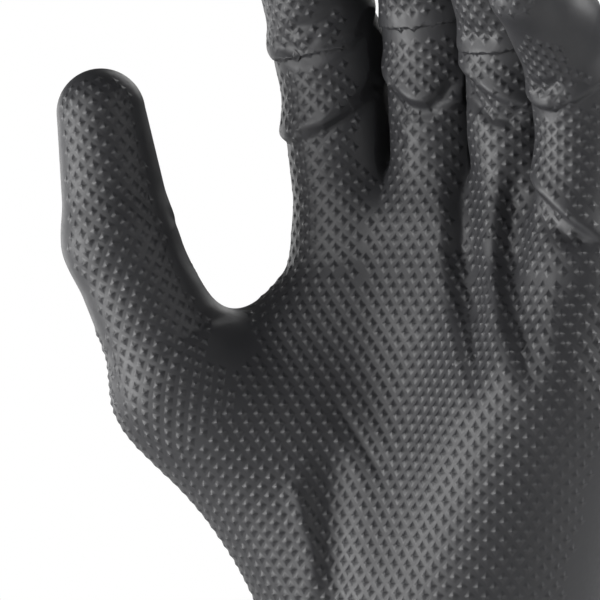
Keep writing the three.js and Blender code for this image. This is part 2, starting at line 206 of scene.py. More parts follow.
SECTIONS = [  # height, middle's y, half width, half depth
    (-0.2 * CUFF_LENGTH, 0.0, 0.5 * CUFF_WIDTH, 0.5 * CUFF_DEPTH),
    (0.0, 0.0, 0.5 * CUFF_WIDTH, 0.5 * CUFF_DEPTH),
    (0.5 * CUFF_LENGTH, 0.0, 0.255 * (CUFF_WIDTH + WRIST_WIDTH), 0.25 * (CUFF_DEPTH + WRIST_DEPTH)),
    (CUFF_LENGTH, 0.0, 0.5 * WRIST_WIDTH, 0.5 * WRIST_DEPTH),
    (CUFF_LENGTH + 0.2 * PALM_LENGTH, 0.04 * PALM_THICKNESS, 0.52 * WRIST_WIDTH, 0.44 * WRIST_DEPTH),
    (CUFF_LENGTH + 0.5 * PALM_LENGTH, 0.1 * PALM_THICKNESS, 0.56 * WRIST_WIDTH, 0.3 * WRIST_DEPTH),
    (CUFF_LENGTH + 0.75 * PALM_LENGTH, 0.16 * PALM_THICKNESS, 0.5 * WRIST_WIDTH, 0.15 * WRIST_DEPTH),
]
DIGITS = {  # knuckle in palm shares, lean and bend in degrees, bones as shares of the length
    "index": {
        "length": 89.0, "radius": 11.7, "knuckle": (-0.38, 0.16, 0.979),
        "lean": (-4, -6, -6), "bend": (6, 22, 38),
        "bones": (0.475, 0.27, 0.153), "radii": (1, 0.99, 0.9, 0.78),
    },
    "middle": {
        "length": 97.0, "radius": 11.7, "knuckle": (-0.03, 0.36, 1.0),
        "lean": (0, -1, -1), "bend": (5, 27, 47),
        "bones": (0.475, 0.29, 0.15), "radii": (1, 0.97, 0.88, 0.76),
    },
    "ring": {
        "length": 92.0, "radius": 11.2, "knuckle": (0.29, 0.3, 0.968),
        "lean": (1, 0, 0), "bend": (5, 33, 55),
        "bones": (0.47, 0.285, 0.155), "radii": (1, 0.96, 0.87, 0.76),
    },
    "little": {
        "length": 75.0, "radius": 10.3, "knuckle": (0.595, 0.03, 0.89),
        "lean": (2, 0, -2), "bend": (3, 36, 62),
        "bones": (0.49, 0.25, 0.16), "radii": (1, 0.95, 0.87, 0.76),
    },
    "thumb": {
        "length": 122.0, "radius": 14.6, "knuckle": (-0.32, -0.36, 0.215),
        "lean": (-32.8, -20, -8.5), "bend": (23.5, 13.5, 3),
        "bones": (0.436, 0.262, 0.226), "radii": (1, 0.89, 0.82, 0.655),
    },
}
FINGERS = ("index", "middle", "ring", "little")
PALM_BONES = [  # finger, start's x as a share of the wrist, then y and both radii as shares of the palm
    ("index", -0.19, 0.08, 0.46, 0.48),
    ("middle", -0.08, 0.08, 0.46, 0.496),
    ("ring", 0.09, 0.08, 0.46, 0.488),
    ("little", 0.235, 0.0, 0.48, 0.48),
]
PADS = [  # both ends in palm shares, both radii
    ((0.27, -0.24, 0.2), (0.51, -0.2, 0.62), HEEL_RADIUS, 0.93 * HEEL_RADIUS),
    ((-0.19, -0.32, 0.17), (-0.39, -0.56, 0.52), 0.87 * HEEL_RADIUS, 0.8 * HEEL_RADIUS),
    ((-0.7, -0.96, 0.58), (-0.42, 0.04, 0.73), 1.75 * WEB_RADIUS, 2.25 * WEB_RADIUS),
    ((-0.82, -1.2, 0.6), (-0.42, 0.0, 0.76), 0.75 * WEB_RADIUS, 1.25 * WEB_RADIUS),
]
FOLDS = [  # digit, height, width, then the fold's place at the left, front and right of the digit
    ("index", 1.0, 1.0, 0.26, 0.285, 0.385),
    ("index", 0.8, 1.0, 0.495, 0.466, 0.54),
    ("middle", 0.9, 1.1, 0.34, 0.266, 0.34),
    ("middle", 0.6, 0.9, 0.465, 0.475, 0.5),
    ("ring", 0.9, 1.0, 0.4, 0.306, 0.325),
    ("ring", 0.7, 0.8, 0.486, 0.48, 0.5),
    ("little", 1.0, 1.0, 0.255, 0.115, 0.07),
    ("little", 0.6, 0.8, 0.545, 0.553, 0.59),
    ("thumb", 0.35, 1.2, 0.7, 0.705, 0.7),
]
GROOVES = [  # both ends in palm shares, depth, width
    ((0.17, -0.08, 1.2), (0.2, -0.3, 0.95), 1.0, 1.0),
    ((0.2, -0.3, 0.95), (0.28, -0.5, 0.83), 0.7, 1.1),
    ((0.41, -0.14, 1.18), (0.41, -0.4, 0.95), 1.2, 1.4),
    ((0.41, -0.4, 0.95), (0.49, -0.68, 0.8), 0.8, 1.2),
    ((-0.15, -0.97, 0.46), (-0.1, -1.09, 0.17), 0.9, 1.5),
]
CREASES = [  # depth, width below or left, width above or right, then points seen in the view, in mm
    # palm valleys below the finger gaps
    (2.7, 2.7, 3.6, (
        (35.5, 35.7), (34.9, 21.3), (34.9, 10.6), (35.7, 0.0), (36.8, -10.6), (37.9, -24.5),
    )),
    (2.2, 2.3, 3.2, (
        (47.2, 34.0), (45.3, 21.3), (45.1, 10.6), (46.0, 0.0), (47.7, -10.6), (49.6, -22.3),
    )),
    (0.8, 1.8, 2.0, ((50.6, 20.2), (49.8, 10.6), (49.6, 0.0), (50.2, -8.5))),
    # index finger
    (1.1, 1.6, 1.4, (
        (-6.2, 56.8), (-4.7, 53.8), (-2.1, 52.8), (1.3, 52.1), (5.5, 53.6), (9.4, 55.5),
        (13.2, 57.7), (15.3, 61.1),
    )),
    (0.7, 1.2, 0.9, ((-4.5, 57.7), (-2.6, 54.9), (-0.6, 53.6), (1.7, 54.3), (5.1, 56.8))),
    (0.7, 1.2, 0.9, ((-3.6, 55.7), (-1.1, 58.1), (3.6, 59.1), (9.4, 62.3))),
    (1.3, 1.2, 1.0, (
        (-2.8, 36.6), (-1.9, 35.1), (1.3, 35.3), (5.1, 36.0), (8.3, 38.1), (11.7, 41.1),
        (16.0, 45.7), (17.9, 48.7),
    )),
    (0.5, 1.2, 0.9, ((8.3, 35.3), (11.7, 38.7), (16.0, 43.0), (18.7, 47.2))),
    (0.4, 1.2, 0.9, ((5.1, 37.4), (9.4, 40.6), (13.2, 43.8), (16.6, 48.1))),
    # middle finger
    (1.3, 1.2, 1.0, (
        (18.3, 47.7), (19.8, 43.0), (22.1, 40.6), (24.5, 40.0), (27.4, 40.6), (30.2, 43.0),
        (32.1, 45.7), (33.6, 48.1),
    )),
    (0.6, 1.2, 1.0, ((19.4, 39.6), (20.4, 35.3), (22.8, 31.9))),
    (0.4, 1.5, 1.4, ((19.6, 60.9), (22.3, 62.1), (25.5, 61.3))),
    # ring finger
    (1.5, 1.3, 1.1, (
        (35.5, 49.1), (36.2, 44.9), (38.7, 41.5), (41.5, 39.4), (44.5, 38.7), (48.5, 40.2),
    )),
    (0.8, 1.5, 1.3, ((34.5, 57.7), (36.8, 56.6), (39.8, 56.2), (42.1, 57.0))),
    # little finger
    (1.1, 1.1, 0.9, ((48.9, 46.2), (50.6, 45.1), (53.0, 45.3), (55.7, 46.8))),
    (0.4, 1.1, 0.9, ((52.6, 41.5), (54.9, 41.9), (57.7, 43.4))),
    (1.1, 1.9, 1.4, (
        (50.2, 23.4), (51.5, 19.4), (54.0, 16.4), (57.2, 14.0), (60.4, 12.6), (63.4, 10.9),
    )),
    # thumb
    (0.4, 1.2, 0.9, ((-47.4, 11.3), (-44.3, 12.3), (-41.1, 13.0), (-36.2, 13.2), (-31.5, 13.0))),
    (0.4, 1.3, 1.0, ((-28.9, 20.2), (-26.0, 16.2), (-21.3, 3.2))),
    # web, thumb pad and palm
    (0.4, 1.4, 1.0, ((-14.5, -2.8), (-19.1, -4.5), (-24.0, -7.9), (-28.3, -11.3), (-31.1, -14.0))),
    (-0.7, 2.0, 1.6, ((-2.6, -37.2), (0.2, -44.0), (0.9, -48.3), (2.6, -52.6), (3.4, -63.4))),
    (0.7, 4.0, 4.5, ((6.4, -35.1), (6.0, -46.8), (6.6, -55.3), (7.4, -63.4))),
    (0.3, 1.8, 1.4, ((5.1, -19.8), (11.9, -28.7), (18.7, -38.7))),
]


# The hand's form, as a distance field

def unit(v):
    return v / (np.linalg.norm(v, axis=-1, keepdims=True) + 1e-9)


def palm_point(x, y, z):
    """A point in millimetres from shares of the palm's breadth, thickness and length."""
    return np.array([x * PALM_BREADTH, y * PALM_THICKNESS, CUFF_LENGTH + z * PALM_LENGTH], np.float32)


def joints_of(digit):
    """The ends of a digit's three bones, from its knuckle to the last one."""
    joints = [palm_point(*digit["knuckle"])]
    for lean, bend, share in zip(digit["lean"], digit["bend"], digit["bones"]):
        along = np.array([math.tan(math.radians(lean)), -math.tan(math.radians(bend)), 1.0])
        along *= share * digit["length"] / np.linalg.norm(along)
        joints.append(joints[-1] + along.astype(np.float32))
    return joints


JOINTS = {name: joints_of(digit) for name, digit in DIGITS.items()}


def cone_distance(p, a, b, start_radius, end_radius):
    """Distance to a cone with round ends, the share of its length, and the way from its line."""
    along = b - a
    q = p - a
    share = np.clip(q @ along / float(along @ along), 0, 1)
    q = q - share[:, None] * along
    distance = np.sqrt((q * q).sum(-1)) - (start_radius + share * (end_radius - start_radius))
    return distance, share, q


def blend(a, b, size):
    """The smaller of two distances, with the corner between them filled in."""
    overlap = np.maximum(size - np.abs(a - b), 0) / size
    return np.minimum(a, b) - 0.25 * size * overlap * overlap


def bell(off, fall):
    return np.exp(-fall * off * off)


def fold_lift(off, fine):
    """How a fold lifts the film: a pouch above the crease, which starts smoothly in the fine form."""
    if fine:
        return np.where(off > 0, bell(off, FINE_POUCH) * (1 - bell(off, FINE_START)), 0)
    return np.where(off > 0, bell(off, COARSE_POUCH), bell(off, COARSE_START))


def with_folds(distance, name, along, across, depth, fine):
    """A digit's distance with its folds, from the place along it and the way from its line."""
    if fine and name == "thumb":
        return distance
    turn = np.hypot(across, depth) + 1e-3
    side = (across * math.cos(FOLD_FRONT) + depth * math.sin(FOLD_FRONT)) / turn
    ahead = (across * math.sin(FOLD_FRONT) - depth * math.cos(FOLD_FRONT)) / turn
    for who, height, width, left, front, right in FOLDS:
        if who == name:
            at = 0.5 * (left + right) * (1 - ahead) + front * ahead + 0.5 * (right - left) * side
            off = (along - at * DIGITS[name]["length"]) / (width * FOLD_WIDTH)
            distance = distance - height * FOLD_HEIGHT * fold_lift(off, fine)
    return distance


def digit_distance(p, name, fine):
    """Distance to a digit: three blended bones with their folds."""
    digit = DIGITS[name]
    joints = JOINTS[name]
    start = 0.0
    for i, (a, b) in enumerate(zip(joints[:-1], joints[1:])):
        radii = [digit["radius"] * part for part in digit["radii"][i:i + 2]]
        d, share, q = cone_distance(p, a, b, *radii)
        length = float(np.linalg.norm(b - a))
        if i == 0:
            distance, nearest, along, across, depth = d, d, share * length, q[:, 0], q[:, 1]
        else:
            distance = blend(distance, d, JOINT_BLEND)
            closer = d < nearest
            nearest = np.where(closer, d, nearest)
            along = np.where(closer, start + share * length, along)
            across = np.where(closer, q[:, 0], across)
            depth = np.where(closer, q[:, 1], depth)
        start += length
    return with_folds(distance, name, along, across, depth, fine)


def finger_at(name, z):
    """The x and the radius of a finger at a height."""
    digit = DIGITS[name]
    joints = np.array(JOINTS[name])
    radii = np.array(digit["radii"]) * digit["radius"]
    return np.interp(z, joints[:, 2], joints[:, 0]), np.interp(z, joints[:, 2], radii)


def gap_at(left, right, z):
    """The x of the gap between two fingers at a height."""
    x_left, r_left = finger_at(left, z)
    x_right, r_right = finger_at(right, z)
    return (0.5 * (x_left + r_left + x_right - r_right)).astype(np.float32)


def tube_distance(p):
    """Distance to the cuff, wrist and palm: an oval tube through SECTIONS with rounded ends."""
    rows = np.array(SECTIONS)
    z = p[:, 2]
    middle, a, b = (np.interp(z, rows[:, 0], rows[:, i]).astype(np.float32) for i in (1, 2, 3))
    u = p[:, 0] / a
    v = (p[:, 1] - middle) / b
    r = np.hypot(u, v) + 1e-6
    side = (r - 1) * r / (np.hypot(u / a, v / b) + 1e-6)
    over = np.maximum(rows[0, 0] - z, z - rows[-1, 0]).astype(np.float32)
    return -blend(-side, -over, TUBE_ROUND)


def palm_distance(p, fine):
    """Distance to the cuff, palm and thumb with the grooves of the palm."""
    palm = tube_distance(p)
    for name, x, y, start_radius, end_radius in PALM_BONES:
        height = CUFF_LENGTH + PALM_BONE_START * PALM_LENGTH
        start = np.array([x * WRIST_WIDTH, y * PALM_THICKNESS, height], np.float32)
        radii = (start_radius * PALM_THICKNESS, end_radius * PALM_THICKNESS)
        palm = blend(palm, cone_distance(p, start, JOINTS[name][0], *radii)[0], PALM_BLEND)
    for a, b, start_radius, end_radius in PADS:
        pad = cone_distance(p, palm_point(*a), palm_point(*b), start_radius, end_radius)[0]
        palm = blend(palm, pad, PALM_BLEND)
    palm = blend(palm, digit_distance(p, "thumb", fine), THUMB_BLEND)
    for a, b, depth, width in GROOVES:
        near = cone_distance(p, palm_point(*a), palm_point(*b), 0.0, 0.0)[0] / (width * GROOVE_WIDTH)
        palm = palm + depth * GROOVE_DEPTH * np.exp(-near * near)
    return palm


def fingers_distance(p, fine):
    """Distance to the four fingers, each cut back from the gaps beside it."""
    fingers = None
    x, z = p[:, 0], p[:, 2]
    for i, name in enumerate(FINGERS):
        d = digit_distance(p, name, fine)
        if i > 0:
            d = np.maximum(d, gap_at(FINGERS[i - 1], name, z) + 0.5 * FINGER_GAP - x)
        if i < len(FINGERS) - 1:
            d = np.maximum(d, x + 0.5 * FINGER_GAP - gap_at(name, FINGERS[i + 1], z))
        fingers = d if fingers is None else np.minimum(fingers, d)
    return fingers


def hand_distance(p, fine):
    """Distance in millimetres from points (n, 3) to the glove's outer face, less than 0 inside."""
    return blend(palm_distance(p, fine), fingers_distance(p, fine), ROOT_BLEND)


# The creases in the film

def on_glove(spots):
    """The glove's points at spots of the view, in millimetres to the right of and above its middle."""
    spots = np.array(spots, np.float32)
    right, up, back = (np.array(way, np.float32) for way in (RIGHT, UP, BACK))
    eye = right * VIEW_CENTRE[0] + up * VIEW_CENTRE[1] + back * VIEW_DISTANCE
    rays = unit(spots[:, :1] * right + spots[:, 1:] * up - back * VIEW_DISTANCE)
    reach = np.full((len(spots), 1), VIEW_DISTANCE - HAND_REACH, np.float32)
    for _ in range(VIEW_STEPS):
        reach[:, 0] += STEP_SHARE * hand_distance(eye + rays * reach, False)
    return eye + rays * reach


CREASE_LINES = [on_glove(spots) for _, _, _, spots in CREASES]


def nearest_on_line(spots, line):
    """Each spot's distance to a line, how far it lies to the side and in front, and its place along."""
    closest = np.full(len(spots), np.inf, np.float32)
    side, out, along = np.zeros((3, len(spots)), np.float32)
    start = 0.0
    for a, b in zip(line[:-1], line[1:]):
        distance, share, q = cone_distance(spots, a, b, 0.0, 0.0)
        length = float(np.linalg.norm(b - a))
        across = np.cross(FRONT, (b - a) / length)
        better = distance < closest
        closest = np.where(better, distance, closest)
        side = np.where(better, q @ (across / np.linalg.norm(across)), side)
        out = np.where(better, q @ FRONT, out)
        along = np.where(better, start + share * length, along)
        start += length
    return closest, side, out, along, start


def crease_depth(p):
    """How far the creases push the film in at points p, in millimetres."""
    push = np.zeros(len(p), np.float32)
    for (depth, low_width, high_width, _), line in zip(CREASES, CREASE_LINES):
        margin = CREASE_MARGIN * max(low_width, high_width)
        near = np.flatnonzero(((p > line.min(0) - margin) & (p < line.max(0) + margin)).all(1))
        if not len(near):
            continue
        closest, side, out, along, length = nearest_on_line(p[near], line)
        width = np.where(side < 0, low_width, high_width)
        ends = np.clip(np.minimum(along, length - along) / (CREASE_FADE * length), 0, 1)
        ends = ends * ends * (3 - 2 * ends)
        away = np.sqrt(np.maximum(closest * closest - out * out, 0) + CREASE_ROUND ** 2) - CREASE_ROUND
        shape = np.clip(1 - away / (CREASE_SPREAD * width), 0, 1) ** CREASE_POINT
        push[near] += depth * ends * shape * np.exp(-(out / CREASE_REACH) ** 2)
    return push


# The fields of the film's two faces

def whole_hand(p):
    """Distance to the outer face with its folds and creases."""
    return hand_distance(p, True) + crease_depth(p)


def hollow(p):
    """Distance to the inner face."""
    return whole_hand(p) + FILM


def cut_at_cuff(field):
    """A field that ends at the cuff's edge."""
    return lambda p: np.maximum(field(p), -p[:, 2])


def in_chunks(field, p):
    """A field's values at many points, a part at a time."""
    p = np.asarray(p, np.float32)
    return np.concatenate([field(p[i:i + CHUNK]) for i in range(0, len(p), CHUNK)])


# Meshes from a field

def grid(counts):
    """All whole-number places of a grid, one a row."""
    return np.stack(np.meshgrid(*[np.arange(n) for n in counts], indexing="ij"), -1).reshape(-1, 3)


def sample(field, low, counts, step):
    """The field on a grid, worked out only in the blocks near its surface."""
    blocks = -(-counts // BLOCK)
    where = grid(blocks)
    middle = in_chunks(field, low + (where + 0.5) * BLOCK * step)
    reach = HALF_DIAGONAL * BLOCK * step * FIELD_SLACK
    values = np.repeat(middle.reshape(blocks), BLOCK, 0)
    values = np.repeat(np.repeat(values, BLOCK, 1), BLOCK, 2)
    near = where[np.abs(middle) < reach]
    spots = (near[:, None, :] * BLOCK + grid([BLOCK] * 3)[None]).reshape(-1, 3)
    values[spots[:, 0], spots[:, 1], spots[:, 2]] = in_chunks(field, low + spots * step)
    return values


def crossings(values, axis):
    """The grid edges along an axis that cross the surface: start, place and value at the start."""
    first = [slice(None)] * 3
    second = [slice(None)] * 3
    first[axis], second[axis] = slice(0, -1), slice(1, None)
    inside = values < 0
    at = np.argwhere(inside[tuple(first)] != inside[tuple(second)])
    after = at.copy()
    after[:, axis] += 1
    v0 = values[at[:, 0], at[:, 1], at[:, 2]]
    v1 = values[after[:, 0], after[:, 1], after[:, 2]]
    place = at.astype(float)
    place[:, axis] += v0 / (v0 - v1)
    return at, place, v0


def surface_net(field, low, high, step):
    """Points and quads of the surface where the field is 0."""
    low = np.asarray(low, float)
    counts = np.ceil((np.asarray(high) - low) / step).astype(int) + 1
    values = sample(field, low, counts, step)
    size = values.shape
    cells, places, quads = [], [], []
    for axis in range(3):
        one, two = (axis + 1) % 3, (axis + 2) % 3
        at, place, start_value = crossings(values, axis)
        ring = []
        for back_one, back_two in ((1, 1), (0, 1), (0, 0), (1, 0)):
            cell = at.copy()
            cell[:, one] -= back_one
            cell[:, two] -= back_two
            ring.append((cell[:, 0] * size[1] + cell[:, 1]) * size[2] + cell[:, 2])
            places.append(place)
        ring = np.stack(ring, 1)
        cells.append(ring.T.reshape(-1))
        quads.append(np.where((start_value < 0)[:, None], ring, ring[:, ::-1]))
    names, which = np.unique(np.concatenate(cells), return_inverse=True)
    places = np.concatenate(places)
    amount = np.bincount(which)
    points = np.stack([np.bincount(which, places[:, i]) / amount for i in range(3)], 1)
    faces = np.searchsorted(names, np.concatenate(quads))
    return low + points * step, faces


def slope(field, p, reach):
    """The field's gradient at points p."""
    out = np.empty((len(p), 3), np.float32)
    for i in range(3):
        off = np.zeros(3, np.float32)
        off[i] = reach
        out[:, i] = (in_chunks(field, p + off) - in_chunks(field, p - off)) / (2 * reach)
    return out


def settle(field, p, most, rounds=2, reach=0.15):
    """Moves points onto the field's surface, and returns them with their normals."""
    p = np.asarray(p, np.float32)
    for _ in range(rounds):
        way = slope(field, p, reach)
        step = in_chunks(field, p) / np.maximum((way * way).sum(-1), LEAST_SLOPE)
        p = p - np.clip(step, -most, most)[:, None] * way
    return p, unit(way)


def make_mesh(name, points, faces, smooth=True):
    """A mesh from points in millimetres and faces that all have the same number of corners."""
    faces = np.asarray(faces, np.int32)
    corners = faces.shape[1]
    mesh = bpy.data.meshes.new(name)
    mesh.vertices.add(len(points))
    mesh.vertices.foreach_set("co", (np.asarray(points, np.float32) * MM).reshape(-1))
    mesh.loops.add(faces.size)
    mesh.loops.foreach_set("vertex_index", faces.reshape(-1))
    mesh.polygons.add(len(faces))
    mesh.polygons.foreach_set("loop_start", np.arange(0, faces.size, corners, dtype=np.int32))
    mesh.polygons.foreach_set("use_smooth", np.full(len(faces), smooth))
    mesh.update(calc_edges=True)
    return mesh


def add_object(name, mesh, material):
    """A mesh object in the scene, with its material."""
    piece = bpy.data.objects.new(name, mesh)
    bpy.context.scene.collection.objects.link(piece)
    mesh.materials.append(material)
    return piece


def points_of(mesh):
    """A mesh's points in millimetres."""
    co = np.empty(len(mesh.vertices) * 3, np.float32)
    mesh.vertices.foreach_get("co", co)
    return co.reshape(-1, 3) / MM


def triangles_of(mesh):
    mesh.calc_loop_triangles()
    out = np.empty(len(mesh.loop_triangles) * 3, np.int32)
    mesh.loop_triangles.foreach_get("vertices", out)
    return out.reshape(-1, 3)


def thinned(points, faces, triangles):
    """The same surface with fewer triangles where it is flat."""
    mesh = make_mesh("dense", points, faces)
    piece = bpy.data.objects.new("dense", mesh)
    bpy.context.scene.collection.objects.link(piece)
    tool = piece.modifiers.new("thin", "DECIMATE")
    tool.ratio = min(1.0, triangles / (2.0 * len(faces)))
    scene_now = bpy.context.evaluated_depsgraph_get()
    thin = bpy.data.meshes.new_from_object(piece.evaluated_get(scene_now))
    out = points_of(thin), triangles_of(thin)
    bpy.data.objects.remove(piece)
    bpy.data.meshes.remove(mesh)
    bpy.data.meshes.remove(thin)
    return out


def without_cap(points, faces, step):
    """Drops the flat faces that close the cuff at its lower edge."""
    kept = points[faces][:, :, 2].mean(1) > CAP_HEIGHT * step
    faces = faces[kept]
    used, faces = np.unique(faces, return_inverse=True)
    return points[used], faces.reshape(-1, 4)


def hand_box(margin):
    """The CAD model's box in millimetres, widened by a margin but not below the cuff."""
    low = np.array(cad_low / MM) - margin
    high = np.array(cad_high / MM) + margin
    low[2] = 0.0
    return low, high


# The film: its outer and inner skin, joined at the cuff

def rim_of(triangles):
    """The open edges of a triangle mesh, as pairs of points in face order."""
    edges = np.concatenate([triangles[:, [0, 1]], triangles[:, [1, 2]], triangles[:, [2, 0]]])
    key = np.sort(edges, 1)
    key = key[:, 0].astype(np.int64) * (triangles.max() + 1) + key[:, 1]
    _, first, count = np.unique(key, return_index=True, return_counts=True)
    return edges[first[count == 1]]


def ordered_rim(points, triangles):
    """The points round the cuff's open edge, in order of their angle."""
    rim = np.unique(rim_of(triangles))
    rim = rim[points[rim, 2] < RIM_HEIGHT]
    angle = np.arctan2(points[rim, 1], points[rim, 0])
    order = np.argsort(angle)
    return rim[order], angle[order]


def joined_rims(outer, inner):
    """Triangles that join the outer and the inner rim, walking round both by angle."""
    (out_rim, out_angle), (in_rim, in_angle) = outer, inner
    made = []
    i = j = 0
    while i < len(out_rim) or j < len(in_rim):
        a, b = out_rim[i % len(out_rim)], in_rim[j % len(in_rim)]
        next_out = out_angle[i + 1] if i + 1 < len(out_rim) else out_angle[0] + 2 * math.pi
        next_in = in_angle[j + 1] if j + 1 < len(in_rim) else in_angle[0] + 2 * math.pi
        if j >= len(in_rim) or (i < len(out_rim) and next_out <= next_in):
            made.append((a, b, out_rim[(i + 1) % len(out_rim)]))
            i += 1
        else:
            made.append((a, b, in_rim[(j + 1) % len(in_rim)]))
            j += 1
    return np.array(made)


def face_normals(points, triangles):
    """Normals at the points, averaged from the triangles round them."""
    a, b, c = (points[triangles[:, i]] for i in range(3))
    across = np.cross(b - a, c - a)
    out = np.stack([
        sum(np.bincount(triangles[:, k], across[:, i], len(points)) for k in range(3)) for i in range(3)
    ], 1)
    return unit(out)


def outer_skin(low, high):
    """Points, normals and triangles of the film's outer face."""
    points, faces = surface_net(cut_at_cuff(whole_hand), low, high, FINE_STEP)
    points, faces = without_cap(points, faces, FINE_STEP)
    points, _ = settle(whole_hand, points, 0.5 * FINE_STEP)
    points, triangles = thinned(points, faces, FILM_TRIANGLES)
    points, normals = settle(whole_hand, points, 0.2 * FINE_STEP, rounds=1)
    flat = face_normals(points, triangles)
    normals = np.where((normals * flat).sum(-1, keepdims=True) > SAME_WAY, normals, flat)
    return points, normals, triangles


def inner_skin(low, high):
    """Points, normals and triangles of the film's inner face, which face into the hollow."""
    points, faces = surface_net(cut_at_cuff(hollow), low, high, INNER_STEP)
    points, faces = without_cap(points, faces, INNER_STEP)
    points, normals = settle(hollow, points, 0.5 * INNER_STEP)
    faces = faces[:, ::-1]
    return points, -normals, np.concatenate([faces[:, [0, 1, 2]], faces[:, [0, 2, 3]]])


def make_film(material):
    """The whole film as one mesh, open at the cuff."""
    low, high = hand_box(3.0)
    points, normals, triangles = outer_skin(low, high)
    inner, inner_normals, inner_triangles = inner_skin(low, high)
    start = len(points)
    inner_rim, inner_angle = ordered_rim(inner, inner_triangles)
    bridge = joined_rims(ordered_rim(points, triangles), (inner_rim + start, inner_angle))
    triangles = np.concatenate([triangles, inner_triangles + start, bridge])
    mesh = make_mesh("glove_film", np.concatenate([points, inner]), triangles)
    mesh.normals_split_custom_set_from_vertices(np.concatenate([normals, inner_normals]).tolist())
    return add_object("glove_film", mesh, material)


# The rolled edge of the cuff

def make_bead(material):
    """A slightly uneven roll of film round the cuff's edge."""
    angle = np.linspace(0, 2 * math.pi, BEAD_AROUND, endpoint=False)
    turn = np.linspace(0, 2 * math.pi, BEAD_TURNS, endpoint=False)
    a, b = 0.5 * CUFF_WIDTH, 0.5 * CUFF_DEPTH
    inset = 0.5 * FILM
    x = (a - inset) * np.cos(angle)
    y = (b - inset) * np.sin(angle)
    nx, ny = np.cos(angle) / a, np.sin(angle) / b
    length = np.hypot(nx, ny)
    nx, ny = nx / length, ny / length
    roll = 1.0
    for amount, count, start in BEAD_WAVES:
        roll = roll + amount * np.sin(count * angle + start)
    lip = 1 - LIP_DEPTH * np.exp(-((turn - LIP_TURN) / LIP_WIDTH) ** 2)
    radius = BEAD_RADIUS * roll[:, None] * lip[None]
    out = radius * np.cos(turn)[None]
    up = radius * np.sin(turn)[None]
    points = np.stack([x[:, None] + nx[:, None] * out, y[:, None] + ny[:, None] * out, up], -1)
    i, j = np.meshgrid(np.arange(BEAD_AROUND), np.arange(BEAD_TURNS), indexing="ij")
    i2, j2 = (i + 1) % BEAD_AROUND, (j + 1) % BEAD_TURNS
    corners = [row * BEAD_TURNS + column for row, column in ((i, j), (i2, j), (i2, j2), (i, j2))]
    mesh = make_mesh("cuff_bead", points.reshape(-1, 3), np.stack(corners, -1).reshape(-1, 4))
    return add_object("cuff_bead", mesh, material)


# The places of the grip's diamonds, on a lattice that follows the hand

def way_along(name, at):
    """Points on a digit's line and its directions, at lengths from the knuckle, below 0 too."""
    joints = np.array(JOINTS[name], float)
    bones = np.diff(joints, axis=0)
    lengths = np.linalg.norm(bones, axis=1)
    ways = bones / lengths[:, None]
    ends = np.concatenate([[0], np.cumsum(lengths)])
    bone = np.clip(np.searchsorted(ends, at, side="right") - 1, 0, 2)
    place = joints[bone] + ways[bone] * (at - ends[bone])[:, None]
    middles = 0.5 * (ends[:-1] + ends[1:])
    way = np.stack([np.interp(at, middles, ways[:, i]) for i in range(3)], 1)
    return place, unit(way)


def lattice_rows(origins, ways, fronts, spread, start_row):
    """Nodes on the surface round each row's origin, at equal steps of arc on both sides of the front."""
    angles = np.linspace(-spread, spread, ARC_RAYS)
    sides = unit(np.cross(ways, fronts))
    rays = fronts[:, None] * np.cos(angles)[None, :, None] + sides[:, None] * np.sin(angles)[None, :, None]
    rays = rays.reshape(-1, 3).astype(np.float32)
    starts = np.repeat(origins, len(angles), 0).astype(np.float32)
    reach = np.zeros(len(rays), np.float32)
    for _ in range(RAY_STEPS):
        distance = in_chunks(whole_hand, starts + rays * reach[:, None])
        reach += np.clip(-STEP_SHARE * distance, -RAY_BACK, RAY_AHEAD)
    found = (starts + rays * reach[:, None]).reshape(len(origins), len(angles), 3)
    nodes, rows = [], []
    middle = len(angles) // 2
    for i, contour in enumerate(found):
        step = np.linalg.norm(np.diff(contour, axis=0), axis=1)
        arc = np.concatenate([[0], np.cumsum(step)])
        arc -= arc[middle]
        shift = 0.5 * ((i + start_row) % 2)
        first = math.ceil(arc[0] / GRIP_WIDTH - shift)
        last = math.floor(arc[-1] / GRIP_WIDTH - shift)
        at = (np.arange(first, last + 1) + shift) * GRIP_WIDTH
        nodes.append(np.stack([np.interp(at, arc, contour[:, k]) for k in range(3)], 1))
        rows += [i] * len(at)
    return np.concatenate(nodes), np.array(rows)


def digit_nodes(name, side):
    """Lattice nodes on the palm side (side 1) or the back (side -1) of a digit."""
    digit = DIGITS[name]
    length = sum(digit["bones"]) * digit["length"]
    tip = digit["radii"][-1] * digit["radius"]
    start = (THUMB_GRIP_START if name == "thumb" else FINGER_GRIP_START) * digit["length"]
    knuckle = JOINTS[name][0][2]
    first = math.ceil((knuckle + start) / (0.5 * GRIP_LENGTH))
    at = np.arange(first, MOST_ROWS) * 0.5 * GRIP_LENGTH - knuckle
    at = at[at < length + TIP_SHARE * tip]
    place, way = way_along(name, np.minimum(at, length))
    turn = THUMB_GRIP_TURN if name == "thumb" else 0.0
    front = np.array([math.sin(turn), -math.cos(turn), 0.0]) * side
    fronts = unit(front - (way @ front)[:, None] * way)
    over = np.maximum(at - length, 0) / tip
    fronts = unit(fronts * np.cos(over)[:, None] + way * np.sin(over)[:, None])
    nodes, rows = lattice_rows(place, way, fronts, DIGIT_SPREAD, first)
    return nodes, way[rows], np.repeat(front[None], len(nodes), 0)


